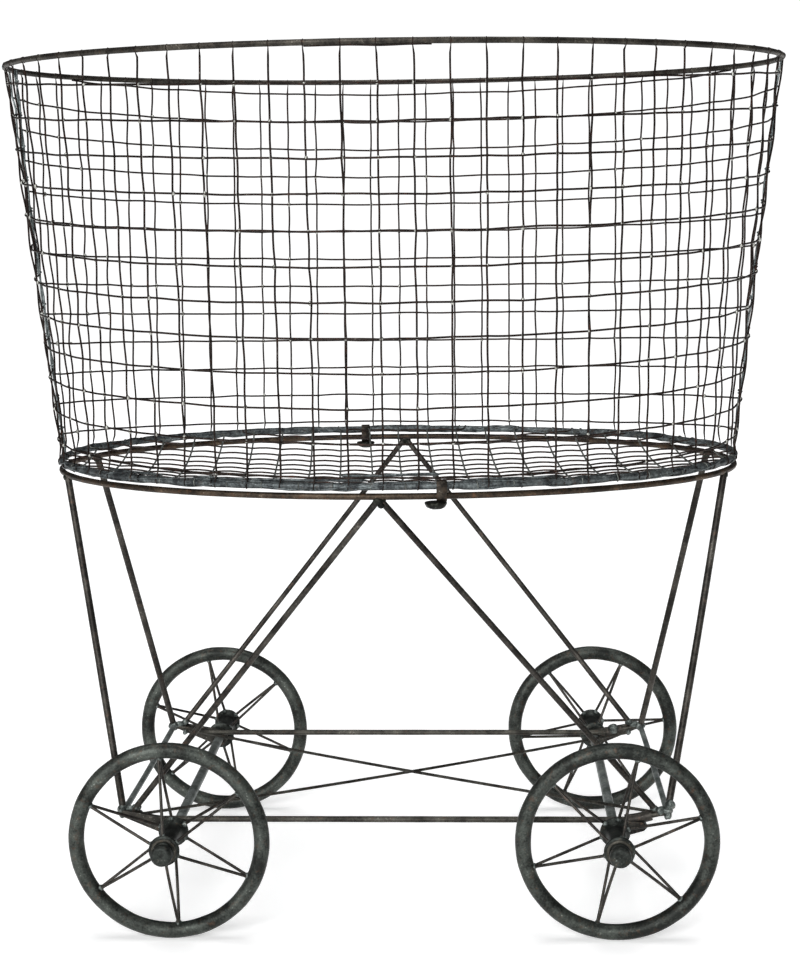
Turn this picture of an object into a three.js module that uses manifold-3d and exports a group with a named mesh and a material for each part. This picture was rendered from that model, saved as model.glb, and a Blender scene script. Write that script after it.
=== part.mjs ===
// Linen trolley: an open oval basket of wire mesh on a welded rod frame, with four spoked wheels.
// Millimetres, +Z up. The origin is on the floor under the middle of the basket. -Y is the front,
// -X the left, and the trolley rolls along X.
import * as THREE from 'three';
import { mergeVertices } from 'three/addons/utils/BufferGeometryUtils.js';
import Module from 'manifold-3d';

const wasm = await Module();
wasm.setup();

// Space left between two pieces that are welded, clipped or slid together.
const gap = 0.3;

// Basket: an oval that narrows from the rim to the base. Half sizes are to the middle of the rods.
const rimHalfLength = 355;
const rimHalfWidth = 238;
const rimHeight = 772;
const rimRodRadius = 3;
const baseHalfLength = 317;
const baseHalfWidth = 210;
const baseHeight = 409.5;
const baseRodRadius = 3.5;
const meshThickness = 1;
const wallBottom = 415.5;
const floorHalfLength = 309;
const floorHalfWidth = 202;
// The mesh floor sags, so the flat plate that stands for it lies below the base ring.
const floorHeight = 398;
const ovalSegments = 64;

// Frame ring, legs and braces.
const frameRingHeight = 401;
const frameRodRadius = 3.25;
const legRadius = 3.25;
const legTopX = 301;
const braceRadius = 2.75;
// Where the two braces of a side meet, and how far each one's top is from there.
const braceMeetX = { front: -5.5, rear: 0 };
const braceTopSpread = 4;
const braceFootX = 236;
const clipX = 42;
const clipLength = 14;
const clipThickness = 1;
const clipNutRadius = 9.5;
const clipNutDepth = 6.5;

// Wheels and axles.
const wheelRadius = 89.5;
const rimTubeRadius = 7;
const wheelX = 197.5;
const wheelY = 181;
const axleRadius = 4.5;
const axleHalfLength = 219.5;
const boreRadius = 4.65;
const hubHalfLength = 27;
const hubBarrelRadius = 8.5;
const hubFlangeRadius = 13.5;
const hubFlangeWidth = 3;
const hubFlangeTaper = 3;
const spokeRadius = 1.4;
const spokePairs = 6;
const collarRadius = 7.5;
const washerRadius = 11.5;
const washerThickness = 1.2;
const capRadius = 9.5;
const capEnd = 224;
const capEdge = 2;
const capGroove = { from: 4, width: 2.8, depth: 1.2, slope: 0.8 };

// Lower rectangle, which rests on the axles, and the thin rods that cross inside it.
const railHeight = wheelRadius + axleRadius + gap + frameRodRadius;
const cornerRise = 5.5;
const cornerHeight = railHeight + cornerRise;
const railY = 141;
const railBendX = 208;
const sideRailX = 245;
const sideRailHalfLength = 144.2;
const crossRodRadius = 1.5;
const crossEndX = 232;
const crossEndY = 133;
const bracketThickness = 3.5;
const bracketEyeRadius = 8.5;
// Where each bracket's tail ends, measured from the axle, and the tail's radius there. One is short.
const longTail = { x: 45.5, z: 13.5, radius: 3 };
const shortTail = { x: 24, z: 2.5, radius: 4.2 };

// Patinated iron in the few tones that the pieces have.
const iron = { wire: 0x3f3a35, ring: 0x49504f, rod: 0x3c3834, rail: 0x6a6d69, wheel: 0x433e38 };

const trolley = new THREE.Group();
trolley.name = 'linen_trolley';

// Adds one named piece to a group.
function addPiece(parent, name, geometry, tone) {
  const material = new THREE.MeshStandardMaterial({ color: tone, roughness: 0.62, metalness: 0.75 });
  const mesh = new THREE.Mesh(geometry, material);
  mesh.name = name;
  parent.add(mesh);
  return mesh;
}

// Turns a geometry into a closed solid for joining.
function toSolid(geometry) {
  geometry.deleteAttribute('normal');
  geometry.deleteAttribute('uv');
  const merged = mergeVertices(geometry, 1e-4);
  return new wasm.Manifold(new wasm.Mesh({
    numProp: 3,
    vertProperties: merged.attributes.position.array,
    triVerts: new Uint32Array(merged.index.array),
  }));
}

// Turns a closed solid back into a geometry.
function toGeometry(solid) {
  const mesh = solid.getMesh();
  const geometry = new THREE.BufferGeometry();
  geometry.setAttribute('position', new THREE.BufferAttribute(mesh.vertProperties, mesh.numProp));
  geometry.setIndex(new THREE.BufferAttribute(mesh.triVerts, 1));
  return geometry;
}

// Bends a round shape of revolution about Z into an oval one. What lay at meanRadius ends on the
// oval whose half sizes at each height are given, and thicknesses are kept.
function bendToOval(geometry, meanRadius, halfSizesAt) {
  const position = geometry.attributes.position;
  for (let i = 0; i < position.count; i += 1) {
    const angle = Math.atan2(position.getY(i), position.getX(i));
    const offset = Math.hypot(position.getX(i), position.getY(i)) - meanRadius;
    const [halfLength, halfWidth] = halfSizesAt(position.getZ(i));
    const outward = new THREE.Vector2(halfWidth * Math.cos(angle), halfLength * Math.sin(angle));
    outward.normalize();
    const x = halfLength * Math.cos(angle) + outward.x * offset;
    const y = halfWidth * Math.sin(angle) + outward.y * offset;
    position.setXY(i, x, y);
  }
  return geometry;
}

// A rod bent into a closed oval that lies flat.
function ovalRing(halfLength, halfWidth, rodRadius) {
  const ring = new THREE.TorusGeometry(halfLength, rodRadius, 6, ovalSegments);
  return bendToOval(ring, halfLength, () => [halfLength, halfWidth]);
}

// The Y of the oval base at a given X.
function baseY(x) {
  return baseHalfWidth * Math.sqrt(1 - (x / baseHalfLength) ** 2);
}

// A straight rod from one point to another. With level ends it is cut flat where it meets a rail.
function straightRod(start, end, radius, { sides = 10, levelEnds = false } = {}) {
  const along = new THREE.Vector3().subVectors(end, start);
  const direction = along.clone().normalize();
  const rod = new THREE.CylinderGeometry(radius, radius, along.length(), sides);
  const heights = Array.from(rod.attributes.position.array).filter((_, i) => i % 3 === 1);
  rod.applyQuaternion(new THREE.Quaternion().setFromUnitVectors(new THREE.Vector3(0, 1, 0), direction));
  rod.translate(...new THREE.Vector3().addVectors(start, end).multiplyScalar(0.5));
  if (levelEnds) {
    const position = rod.attributes.position;
    for (let i = 0; i < position.count; i += 1) {
      const point = new THREE.Vector3().fromBufferAttribute(position, i);
      const targetZ = heights[i] > 0 ? end.z : start.z;
      point.addScaledVector(direction, (targetZ - point.z) / direction.z);
      position.setXYZ(i, point.x, point.y, point.z);
    }
  }
  return rod;
}

// A round piece turned about Y, from a profile of [radius, y] points that closes on itself.
function turnedAboutY(profile, sides) {
  const points = profile.map(([radius, y]) => new THREE.Vector2(radius, y));
  points.push(points[0].clone());
  return new THREE.LatheGeometry(points, sides);
}

// Basket: rim, wall, base ring and floor.
function addBasket() {
  const rim = ovalRing(rimHalfLength, rimHalfWidth, rimRodRadius);
  addPiece(trolley, 'basket_rim', rim, iron.rod).position.z = rimHeight;

  const wallTop = rimHeight - rimRodRadius - gap;
  const inner = baseHalfLength - meshThickness / 2;
  const outer = baseHalfLength + meshThickness / 2;
  const section = [[inner, wallBottom], [outer, wallBottom], [outer, wallTop], [inner, wallTop]];
  const wall = turnedAboutY(section, ovalSegments);
  wall.rotateX(Math.PI / 2);
  bendToOval(wall, baseHalfLength, (height) => {
    const rise = (height - baseHeight) / (rimHeight - baseHeight);
    return [
      THREE.MathUtils.lerp(baseHalfLength, rimHalfLength, rise),
      THREE.MathUtils.lerp(baseHalfWidth, rimHalfWidth, rise),
    ];
  });
  addPiece(trolley, 'basket_wall', wall, iron.wire);

  const baseRing = ovalRing(baseHalfLength, baseHalfWidth, baseRodRadius);
  addPiece(trolley, 'basket_base_ring', baseRing, iron.ring).position.z = baseHeight;

  const oval = new THREE.Shape().absellipse(0, 0, floorHalfLength, floorHalfWidth, 0, 2 * Math.PI);
  const plate = new THREE.ExtrudeGeometry(oval, {
    depth: meshThickness,
    bevelEnabled: false,
    curveSegments: 48,
  });
  addPiece(trolley, 'basket_floor', plate, iron.wire).position.z = floorHeight - meshThickness / 2;
}

// A band round the base ring and the frame ring.
const clipHoleRadius = baseRodRadius + gap;
const clipBandRadius = clipHoleRadius + clipThickness;
function clipGeometry() {
  const rise = baseHeight - frameRingHeight;
  const outline = new THREE.Shape();
  outline.absarc(0, rise, clipBandRadius, 0, Math.PI);
  outline.absarc(0, 0, clipBandRadius, Math.PI, 2 * Math.PI);
  const hole = new THREE.Path();
  hole.absarc(0, rise, clipHoleRadius, 0, Math.PI);
  hole.absarc(0, 0, clipHoleRadius, Math.PI, 2 * Math.PI);
  outline.holes.push(hole);
  const clip = new THREE.ExtrudeGeometry(outline, {
    depth: clipLength,
    bevelEnabled: false,
    curveSegments: 8,
  });
  clip.translate(0, 0, -clipLength / 2);
  clip.rotateX(Math.PI / 2);
  clip.rotateZ(Math.PI / 2);
  return clip;
}

// The domed nut that hangs under a clip, with its flat side up.
function clipNutGeometry() {
  const profile = [new THREE.Vector2(0, 0)];
  const arcPoints = 5;
  for (let i = 0; i <= arcPoints; i += 1) {
    const angle = (i / arcPoints) * (Math.PI / 2);
    const radius = i === arcPoints ? 0 : clipNutRadius * Math.cos(angle);
    profile.push(new THREE.Vector2(radius, clipNutDepth * Math.sin(angle)));
  }
  const nut = new THREE.LatheGeometry(profile, 16);
  nut.rotateX(-Math.PI / 2);
  return nut;
}

// Frame ring, and the two clips with their nuts, which stand diagonally opposite each other.
function addFrameRing() {
  const ring = ovalRing(baseHalfLength, baseHalfWidth, frameRodRadius);
  addPiece(trolley, 'frame_ring', ring, iron.rod).position.z = frameRingHeight;

  const slope = (baseHalfWidth ** 2 * clipX) / (baseHalfLength ** 2 * baseY(clipX));
  for (const [name, side] of [['front', 1], ['rear', -1]]) {
    const clip = addPiece(trolley, `basket_clip_${name}`, clipGeometry(), iron.rod);
    clip.position.set(side * clipX, -side * baseY(clipX), frameRingHeight);
    clip.rotation.z = Math.atan(slope);
    const nut = addPiece(trolley, `basket_clip_nut_${name}`, clipNutGeometry(), iron.rod);
    nut.position.set(side * clipX, -side * baseY(clipX), frameRingHeight - clipBandRadius - gap);
  }
}

// Legs and braces of one corner. signX and signY say which one.
function addCornerRods(name, signX, signY) {
  const ringUnderside = frameRingHeight - frameRodRadius - gap;
  const railTop = cornerHeight + frameRodRadius + gap;

  const legTop = new THREE.Vector3(signX * legTopX, signY * baseY(legTopX), ringUnderside);
  const legFoot = new THREE.Vector3(signX * sideRailX, signY * railY, railTop);
  addPiece(trolley, `leg_${name}`, straightRod(legTop, legFoot, legRadius, { levelEnds: true }), iron.rod);

  const meetX = signY < 0 ? braceMeetX.front : braceMeetX.rear;
  const braceTopX = meetX + signX * braceTopSpread;
  const braceTop = new THREE.Vector3(braceTopX, signY * baseHalfWidth, ringUnderside);
  const braceFoot = new THREE.Vector3(signX * braceFootX, signY * railY, railTop);
  const brace = straightRod(braceTop, braceFoot, braceRadius, { levelEnds: true });
  addPiece(trolley, `brace_${name}`, brace, iron.rod);
}

// Front and rear rails. They lie on the axles and bend up to the corners at both ends.
function endRailGeometry() {
  const endX = sideRailX - frameRodRadius - gap;
  const path = new THREE.CatmullRomCurve3([
    new THREE.Vector3(-endX, 0, cornerHeight),
    new THREE.Vector3(-railBendX, 0, railHeight),
    new THREE.Vector3(-railBendX / 2, 0, railHeight),
    new THREE.Vector3(railBendX / 2, 0, railHeight),
    new THREE.Vector3(railBendX, 0, railHeight),
    new THREE.Vector3(endX, 0, cornerHeight),
  ], false, 'centripetal');
  const section = new THREE.Shape().absarc(0, 0, frameRodRadius, 0, 2 * Math.PI);
  return new THREE.ExtrudeGeometry(section, { steps: 16, extrudePath: path, curveSegments: 5 });
}

// The lower rectangle and the X of tie rods, one of which passes over the other.
function addLowerFrame() {
  for (const [name, side] of [['front', -1], ['rear', 1]]) {
    addPiece(trolley, `${name}_rail`, endRailGeometry(), iron.rod).position.y = side * railY;
  }
  for (const [name, side] of [['left', -1], ['right', 1]]) {
    const start = new THREE.Vector3(side * sideRailX, -sideRailHalfLength, cornerHeight);
    const end = new THREE.Vector3(side * sideRailX, sideRailHalfLength, cornerHeight);
    addPiece(trolley, `side_rail_${name}`, straightRod(start, end, frameRodRadius), iron.rail);
  }
  const lowest = wheelRadius + axleRadius + gap + crossRodRadius;
  for (const [name, side, level] of [['lower', 1, 0], ['upper', -1, 1]]) {
    const height = lowest + level * (2 * crossRodRadius + gap);
    const start = new THREE.Vector3(-crossEndX, -side * crossEndY, height);
    const end = new THREE.Vector3(crossEndX, side * crossEndY, height);
    addPiece(trolley, `cross_rod_${name}`, straightRod(start, end, crossRodRadius, { sides: 8 }), iron.rod);
  }
}

// A plate with a round eye on the axle and a tapered tail that reaches out towards the corner.
function bracketGeometry(tail, signX) {
  const reach = Math.hypot(tail.x, tail.z);
  const lean = Math.atan2(tail.z, tail.x);
  const tangent = Math.acos((bracketEyeRadius - tail.radius) / reach);
  const outline = new THREE.Shape();
  outline.absarc(0, 0, bracketEyeRadius, lean + tangent, lean - tangent + 2 * Math.PI);
  outline.absarc(tail.x, tail.z, tail.radius, lean - tangent, lean + tangent);
  const eye = new THREE.Path().absarc(0, 0, axleRadius + gap, 0, 2 * Math.PI);
  outline.holes.push(eye);
  const plate = new THREE.ExtrudeGeometry(outline, {
    depth: bracketThickness,
    bevelEnabled: false,
    curveSegments: 8,
  });
  plate.translate(0, 0, -bracketThickness / 2);
  plate.rotateX(Math.PI / 2);
  if (signX < 0) {
    plate.rotateZ(Math.PI);
  }
  return plate;
}

// The fixed pieces on one end of an axle: bracket, collar, washer and cap, from the inside out.
function addAxleEnd(name, signX, signY, tail) {
  const bracketY = railY + frameRodRadius + gap + bracketThickness / 2;
  const bracket = addPiece(trolley, `axle_bracket_${name}`, bracketGeometry(tail, signX), iron.rod);
  bracket.position.set(signX * wheelX, signY * bracketY, wheelRadius);

  const fixedBore = axleRadius + gap;
  const ring = (radius, from, to) => [[fixedBore, from], [radius, from], [radius, to], [fixedBore, to]];
  const collarFrom = bracketY + bracketThickness / 2 + gap;
  const hubInner = wheelY - hubHalfLength;
  const hubOuter = wheelY + hubHalfLength;
  const washerFrom = hubOuter + gap;
  const capFrom = washerFrom + washerThickness + gap;
  const grooveFrom = capFrom + capGroove.from;
  const grooveTo = grooveFrom + capGroove.width;
  const capProfile = [
    [0, axleHalfLength + gap],
    [fixedBore, axleHalfLength + gap],
    [fixedBore, capFrom],
    [capRadius, capFrom],
    [capRadius, grooveFrom],
    [capRadius - capGroove.depth, grooveFrom + capGroove.slope],
    [capRadius - capGroove.depth, grooveTo - capGroove.slope],
    [capRadius, grooveTo],
    [capRadius, capEnd - capEdge],
    [capRadius - capEdge, capEnd],
    [0, capEnd],
  ];
  const pieces = {
    axle_collar: ring(collarRadius, collarFrom, hubInner - gap),
    axle_washer: ring(washerRadius, washerFrom, washerFrom + washerThickness),
    axle_cap: capProfile,
  };
  for (const [piece, profile] of Object.entries(pieces)) {
    const mesh = addPiece(trolley, `${piece}_${name}`, turnedAboutY(profile, 18), iron.wheel);
    mesh.position.set(signX * wheelX, 0, wheelRadius);
    if (signY < 0) {
      mesh.rotation.z = Math.PI;
    }
  }
}

// The bar that carries the two wheels on one side.
function addAxle(name, signX) {
  const start = new THREE.Vector3(signX * wheelX, -axleHalfLength, wheelRadius);
  const end = new THREE.Vector3(signX * wheelX, axleHalfLength, wheelRadius);
  addPiece(trolley, `axle_${name}`, straightRod(start, end, axleRadius, { sides: 18 }), iron.rail);
}

// A spool hub with two flanges, bored for the axle.
function hubSolid() {
  const flangeInside = hubHalfLength - hubFlangeWidth;
  return toSolid(turnedAboutY([
    [boreRadius, -hubHalfLength],
    [hubFlangeRadius, -hubHalfLength],
    [hubFlangeRadius, -flangeInside],
    [hubBarrelRadius, -flangeInside + hubFlangeTaper],
    [hubBarrelRadius, flangeInside - hubFlangeTaper],
    [hubFlangeRadius, flangeInside],
    [hubFlangeRadius, hubHalfLength],
    [boreRadius, hubHalfLength],
  ], 18));
}

// Hub and spokes. Each pair of spokes leaves the two flanges and meets at the rim.
function spiderGeometry(firstAngle) {
  let spider = hubSolid();
  const rimEnd = wheelRadius - 2 * rimTubeRadius - gap;
  for (let pair = 0; pair < spokePairs; pair += 1) {
    const angle = firstAngle + (pair * 2 * Math.PI) / spokePairs;
    for (const side of [-1, 1]) {
      const outward = new THREE.Vector3(Math.cos(angle), 0, Math.sin(angle));
      const start = outward.clone().multiplyScalar(hubBarrelRadius + 1);
      start.y = side * (hubHalfLength - hubFlangeWidth / 2);
      const end = outward.clone().multiplyScalar(rimEnd);
      end.y = side * spokeRadius * 0.8;
      spider = spider.add(toSolid(straightRod(start, end, spokeRadius, { sides: 5 })));
    }
  }
  return toGeometry(spider);
}

// One wheel. It turns about its own centre, along Y.
function addWheel(name, signX, signY, firstSpokeDegrees) {
  const wheel = new THREE.Group();
  wheel.position.set(signX * wheelX, signY * wheelY, wheelRadius);
  trolley.add(wheel);
  const rim = new THREE.TorusGeometry(wheelRadius - rimTubeRadius, rimTubeRadius, 8, 40);
  rim.rotateX(Math.PI / 2);
  addPiece(wheel, `wheel_rim_${name}`, rim, iron.wheel);
  const spider = spiderGeometry(THREE.MathUtils.degToRad(firstSpokeDegrees));
  addPiece(wheel, `wheel_spider_${name}`, spider, iron.wheel);
}

addBasket();
addFrameRing();
addLowerFrame();
addAxle('left', -1);
addAxle('right', 1);
// Each corner: its name, its side in X and in Y, the angle of its wheel's first spoke, and the tail
// of its bracket.
const corners = [
  ['front_left', -1, -1, 35, longTail],
  ['front_right', 1, -1, 17, shortTail],
  ['rear_left', -1, 1, 41, longTail],
  ['rear_right', 1, 1, 7, longTail],
];
for (const [name, signX, signY, firstSpokeDegrees, tail] of corners) {
  addCornerRods(name, signX, signY);
  addAxleEnd(name, signX, signY, tail);
  addWheel(name, signX, signY, firstSpokeDegrees);
}

export default trolley;
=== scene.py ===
import bisect
import functools
import math
import random

import bmesh
import bpy
from mathutils import Matrix, Vector, noise


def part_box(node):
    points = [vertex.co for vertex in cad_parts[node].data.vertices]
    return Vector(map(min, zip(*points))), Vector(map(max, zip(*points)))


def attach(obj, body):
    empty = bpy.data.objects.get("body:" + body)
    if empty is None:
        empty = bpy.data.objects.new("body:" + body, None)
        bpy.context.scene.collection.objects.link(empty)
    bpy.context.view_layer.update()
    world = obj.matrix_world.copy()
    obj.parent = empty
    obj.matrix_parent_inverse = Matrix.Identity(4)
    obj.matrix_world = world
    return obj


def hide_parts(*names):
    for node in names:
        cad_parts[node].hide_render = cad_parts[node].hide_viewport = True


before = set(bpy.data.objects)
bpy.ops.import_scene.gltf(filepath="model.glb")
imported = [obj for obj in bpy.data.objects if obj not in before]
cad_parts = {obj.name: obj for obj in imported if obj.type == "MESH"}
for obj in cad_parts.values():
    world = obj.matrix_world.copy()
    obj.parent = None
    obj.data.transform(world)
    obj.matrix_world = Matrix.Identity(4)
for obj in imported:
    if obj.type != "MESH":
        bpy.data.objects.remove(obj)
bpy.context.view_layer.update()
MM = 0.001
scene = bpy.context.scene


# --- Camera -------------------------------------------------------------------------------------
# A camera with a short telephoto lens. It stands straight in front, at the height of the basket,
# and looks a little down and to the left. The angles are in degrees.
camera_place = (0.0793, -1.7481, 0.6372)
turned_left = 2.503
tilted_down = 8.492
rolled = -0.680
camera_data = bpy.data.cameras.new("camera")
camera_data.sensor_width = 36
camera_data.lens = 68.31
camera = bpy.data.objects.new("camera", camera_data)
turn = Matrix.Rotation(math.radians(turned_left), 3, "Z")
tilt = Matrix.Rotation(math.radians(90 - tilted_down), 3, "X")
roll = Matrix.Rotation(math.radians(rolled), 3, "Z")
camera.location = camera_place
camera.rotation_euler = (turn @ tilt @ roll).to_euler()
scene.collection.objects.link(camera)
scene.camera = camera


# --- Floor and light ----------------------------------------------------------------------------
# A plain matt white floor that runs into a white backdrop. One broad soft light comes from the
# front and a weaker one from above, so that round rods are light in the middle and dark at the
# edges, and only small shadows lie under the wheels.
def linear(hex_colour):
    """An sRGB colour such as "#4a453f" as linear red, green, blue and alpha."""
    channels = [int(hex_colour[i:i + 2], 16) / 255 for i in (1, 3, 5)]
    return [c / 12.92 if c <= 0.04045 else ((c + 0.055) / 1.055) ** 2.4 for c in channels] + [1.0]


def add_node(tree, kind, settings=None, links=None):
    """Adds a shader node, sets its inputs (by name or number) or properties, and links it."""
    node = tree.nodes.new("ShaderNode" + kind)
    for name, value in (settings or {}).items():
        if name == "stops":
            ramp = node.color_ramp.elements
            while len(ramp) < len(value):
                ramp.new(1.0)
            for stop, (position, colour) in zip(ramp, value):
                stop.position = position
                stop.color = colour
        elif isinstance(name, int) or name in node.inputs:
            node.inputs[name].default_value = value
        else:
            setattr(node, name, value)
    for name, output in (links or {}).items():
        tree.links.new(output, node.inputs[name])
    return node


def finished(name, mesh):
    """Turns a bmesh into a smooth object in the scene, with its faces pointing outwards."""
    bmesh.ops.recalc_face_normals(mesh, faces=mesh.faces)
    data = bpy.data.meshes.new(name)
    mesh.to_mesh(data)
    mesh.free()
    for face in data.polygons:
        face.use_smooth = True
    piece = bpy.data.objects.new(name, data)
    scene.collection.objects.link(piece)
    return piece


floor_half_size = 6
floor_mesh = bmesh.new()
bmesh.ops.create_grid(floor_mesh, x_segments=2, y_segments=2, size=floor_half_size)
floor = finished("floor", floor_mesh)

# Matt white paint scatters light evenly and has hardly any shine. It glows a little, so that it
# is as white as the backdrop behind it.
floor_white = bpy.data.materials.new("matt_white_paint")
floor_white.use_nodes = True
tree = floor_white.node_tree
tree.nodes.clear()
place = add_node(tree, "TexCoord").outputs["Object"]
mottle = add_node(tree, "TexNoise", {"Scale": 1 / (80 * MM)}, {"Vector": place})
white = add_node(
    tree, "ValToRGB",
    {"stops": [(0.3, linear("#f7f7f7")), (0.7, linear("#fafafa"))]},
    {"Fac": mottle.outputs["Fac"]},
)
paint = add_node(
    tree, "BsdfPrincipled",
    {"Roughness": 0.9, "Specular IOR Level": 0.1, "Emission Strength": 0.38},
    {"Base Color": white.outputs["Color"], "Emission Color": white.outputs["Color"]},
)
add_node(tree, "OutputMaterial", links={"Surface": paint.outputs["BSDF"]})
floor.data.materials.append(floor_white)

backdrop = bpy.data.worlds.new("white_backdrop")
backdrop.use_nodes = True
tree = backdrop.node_tree
tree.nodes.clear()
seen = add_node(tree, "LightPath").outputs["Is Camera Ray"]
white_light = add_node(tree, "Background", {"Color": linear("#ffffff"), "Strength": 1.08})
dim_room = add_node(tree, "Background", {"Color": linear("#eef1f4"), "Strength": 0.1})
split = add_node(
    tree, "MixShader", links={0: seen, 1: dim_room.outputs[0], 2: white_light.outputs[0]}
)
add_node(tree, "OutputWorld", links={"Surface": split.outputs[0]})
scene.world = backdrop
scene.view_settings.view_transform = "Standard"

for name, power, spread, aim in (
    ("front_light", 2.9, 40, (0.3, 1.0, -0.45)), ("top_light", 1.5, 36, (0.0, -0.05, -1.0)),
):
    light_data = bpy.data.lights.new(name, "SUN")
    light_data.energy = power
    light_data.angle = math.radians(spread)
    light = bpy.data.objects.new(name, light_data)
    light.rotation_euler = Vector(aim).to_track_quat("-Z", "Y").to_euler()
    scene.collection.objects.link(light)


# --- Basket rim ---------------------------------------------------------------------------------
# A 6 mm iron rod bent into an oval and welded closed. Its dark oxide skin has fine grey specks:
# partly wear from hands and laundry, partly painted glints.
def bent_rods(name, runs, radius, closed=False, roundness=2):
    """One piece of round rod or wire. A run is a list of points; a fourth value thickens a point."""
    curve = bpy.data.curves.new(name, "CURVE")
    curve.dimensions = "3D"
    curve.bevel_depth = radius
    curve.bevel_resolution = roundness
    curve.use_fill_caps = not closed
    for run in runs:
        spline = curve.splines.new("POLY")
        spline.points.add(len(run) - 1)
        for point, spot in zip(spline.points, run):
            point.co = (*spot[:3], 1.0)
            point.radius = spot[3] if len(spot) > 3 else 1.0
        spline.use_cyclic_u = closed
        spline.use_smooth = True
    piece = bpy.data.objects.new(name, curve)
    scene.collection.objects.link(piece)
    return piece


def aged_iron(name, oxide, wear_and_glint, rust, wear_and_glint_share=0.4, rust_share=0.3, blotch=22 * MM):
    """Iron under an uneven oxide skin: dark blotches, fine pale specks and thin rust. The pale
    specks are partly rubbed wear and partly painted glints. The real grain is a few tenths of a
    millimetre across. It is drawn coarser, so that it shows."""
    grain_size = 1.8 * MM
    rust_spot = 6 * MM
    relief_depth = 0.2 * MM
    grain_in_skin = 0.35
    grain_in_wear_and_glint = 1.6
    darkest_at = 0.58
    lightest_at = 0.88
    wear_and_glint_from = 1.74 - 0.35 * wear_and_glint_share
    wear_and_glint_whole = 2.0 - 0.35 * wear_and_glint_share
    rust_from = 0.62 - 0.2 * rust_share
    rust_whole = 0.8 - 0.2 * rust_share
    thickest_rust = 0.6
    glossiest = 0.34
    dullest = 0.62
    material = bpy.data.materials.new(name)
    material.use_nodes = True
    tree = material.node_tree
    tree.nodes.clear()
    place = add_node(tree, "TexCoord").outputs["Object"]
    patches = add_node(
        tree, "TexNoise", {"Scale": 1 / blotch, "Detail": 6, "Roughness": 0.68},
        {"Vector": place},
    )
    grain = add_node(
        tree, "TexNoise", {"Scale": 1 / grain_size, "Detail": 2, "Roughness": 0.6},
        {"Vector": place},
    )
    bloom = add_node(
        tree, "TexNoise", {"Scale": 1 / rust_spot, "Detail": 5, "Roughness": 0.7},
        {"Vector": place},
    )
    mottle = add_node(
        tree, "Math", {"operation": "MULTIPLY_ADD", 1: grain_in_skin},
        {0: grain.outputs["Fac"], 2: patches.outputs["Fac"]},
    )
    skin = add_node(
        tree, "ValToRGB",
        {"stops": [(darkest_at, linear(oxide[0])), (lightest_at, linear(oxide[1]))]},
        {"Fac": mottle.outputs["Value"]},
    )
    wear_and_glint_mottle = add_node(
        tree, "Math", {"operation": "MULTIPLY_ADD", 1: grain_in_wear_and_glint},
        {0: grain.outputs["Fac"], 2: patches.outputs["Fac"]},
    )
    wear_and_glint_mask = add_node(
        tree, "MapRange", {"From Min": wear_and_glint_from, "From Max": wear_and_glint_whole},
        {"Value": wear_and_glint_mottle.outputs["Value"]},
    )
    # The pale specks mixed in here are partly rubbed wear and partly painted glints.
    skin_with_wear_and_glints = add_node(
        tree, "Mix", {"data_type": "RGBA", 7: linear(wear_and_glint)},
        {"Factor": wear_and_glint_mask.outputs["Result"], 6: skin.outputs["Color"]},
    )
    rusted = add_node(
        tree, "MapRange",
        {"From Min": rust_from, "From Max": rust_whole, "To Max": thickest_rust},
        {"Value": bloom.outputs["Fac"]},
    )
    colour = add_node(
        tree, "Mix", {"data_type": "RGBA", 7: linear(rust)},
        {"Factor": rusted.outputs["Result"], 6: skin_with_wear_and_glints.outputs[2]},
    )
    gloss = add_node(
        tree, "MapRange", {"To Min": glossiest, "To Max": dullest}, {"Value": grain.outputs["Fac"]}
    )
    relief = add_node(
        tree, "Bump", {"Strength": 0.8, "Distance": relief_depth},
        {"Height": wear_and_glint_mottle.outputs["Value"]},
    )
    surface = add_node(
        tree, "BsdfPrincipled",
        {"Metallic": 0.7, "Specular IOR Level": 0.2},
        {
            "Base Color": colour.outputs[2],
            "Roughness": gloss.outputs["Result"],
            "Normal": relief.outputs["Normal"],
        },
    )
    add_node(tree, "OutputMaterial", links={"Surface": surface.outputs["BSDF"]})
    return material


rim_low, rim_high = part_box("basket_rim")
rod_radius = (rim_high.z - rim_low.z) / 2
rim_height = rim_low.z + rod_radius
rim_half = (rim_high.x - rod_radius, rim_high.y - rod_radius)
base_low, base_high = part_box("basket_base_ring")
base_rod_radius = (base_high.z - base_low.z) / 2
base_height = base_low.z + base_rod_radius
base_half = (base_high.x - base_rod_radius, base_high.y - base_rod_radius)
angle_steps = 90


@functools.lru_cache(maxsize=None)
def quarter_oval(half_length, half_width):
    """Distances round a quarter of an oval from the middle of its long side, at even angles."""
    total = 0.0
    lengths = [0.0]
    for step in range(angle_steps):
        near = math.pi / 2 * step / angle_steps
        far = math.pi / 2 * (step + 1) / angle_steps
        total += math.hypot(
            half_length * (math.sin(far) - math.sin(near)),
            half_width * (math.cos(far) - math.cos(near)),
        )
        lengths.append(total)
    return lengths


def halves_at(height):
    """Half length and half width of the basket at a height."""
    rise = (height - base_height) / (rim_height - base_height)
    return [round(base + rise * (rim - base), 5) for base, rim in zip(base_half, rim_half)]


def wall_point(side, along, height, out=0.0):
    """A place on the basket wall, `along` from the middle of its front (-1) or rear (+1) side."""
    half_length, half_width = halves_at(height)
    lengths = quarter_oval(half_length, half_width)
    distance = min(abs(along), lengths[-1])
    step = min(bisect.bisect_right(lengths, distance), angle_steps) - 1
    part = (distance - lengths[step]) / (lengths[step + 1] - lengths[step])
    angle = math.copysign(math.pi / 2 * (step + part) / angle_steps, along)
    normal = Vector((half_width * math.sin(angle), side * half_length * math.cos(angle), 0))
    spot = Vector((half_length * math.sin(angle), side * half_width * math.cos(angle), height))
    return spot + normal.normalized() * out


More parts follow.
